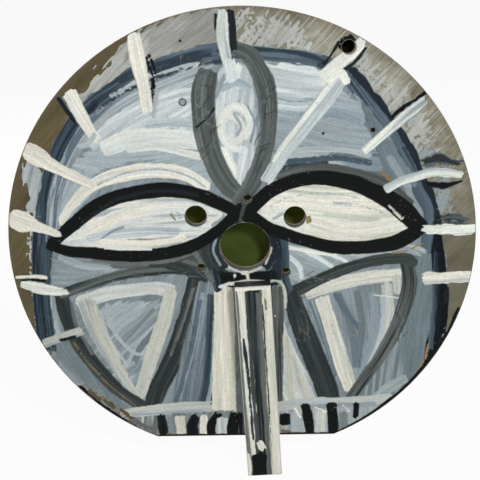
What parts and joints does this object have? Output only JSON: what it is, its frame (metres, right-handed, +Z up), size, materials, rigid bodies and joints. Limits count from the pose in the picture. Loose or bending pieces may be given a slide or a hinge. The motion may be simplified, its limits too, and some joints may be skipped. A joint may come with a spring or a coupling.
{
  "type": "wall mask",
  "caption": "Round plywood wall mask with a flat bottom cut, a centre bore, eye and bolt holes, a batten nose and a painted face.",
  "frame": {"origin": "on the centre bore's axis, at the disc's back face", "axes": "+Z up the mask, the painted face towards -Y, the back towards +Y, +X to the right seen from the front"},
  "size_m": [0.4898, 0.03, 0.5109],
  "materials": {
    "weathered_veneer": "bare, weathered grey-brown",
    "inner_veneer": "sawn edge, weathered",
    "painted_veneer": "thick brushed emulsion over wood",
    "painted_batten": "thick brushed emulsion over sawn wood",
    "screw_steel": "dull zinc",
    "painted_nail": "brushed over with the face paint",
    "pin_steel": "bright"
  },
  "bodies": {
    "root": {"back_face_veneer": "weathered_veneer", "back_cross_veneer": "inner_veneer", "core_veneer": "inner_veneer", "front_cross_veneer": "inner_veneer", "front_face_veneer": "painted_veneer", "nose_batten": "painted_batten", "nose_screws": "screw_steel", "forehead_nail": "painted_nail", "side_pin": "pin_steel"}
  },
  "joints": []
}
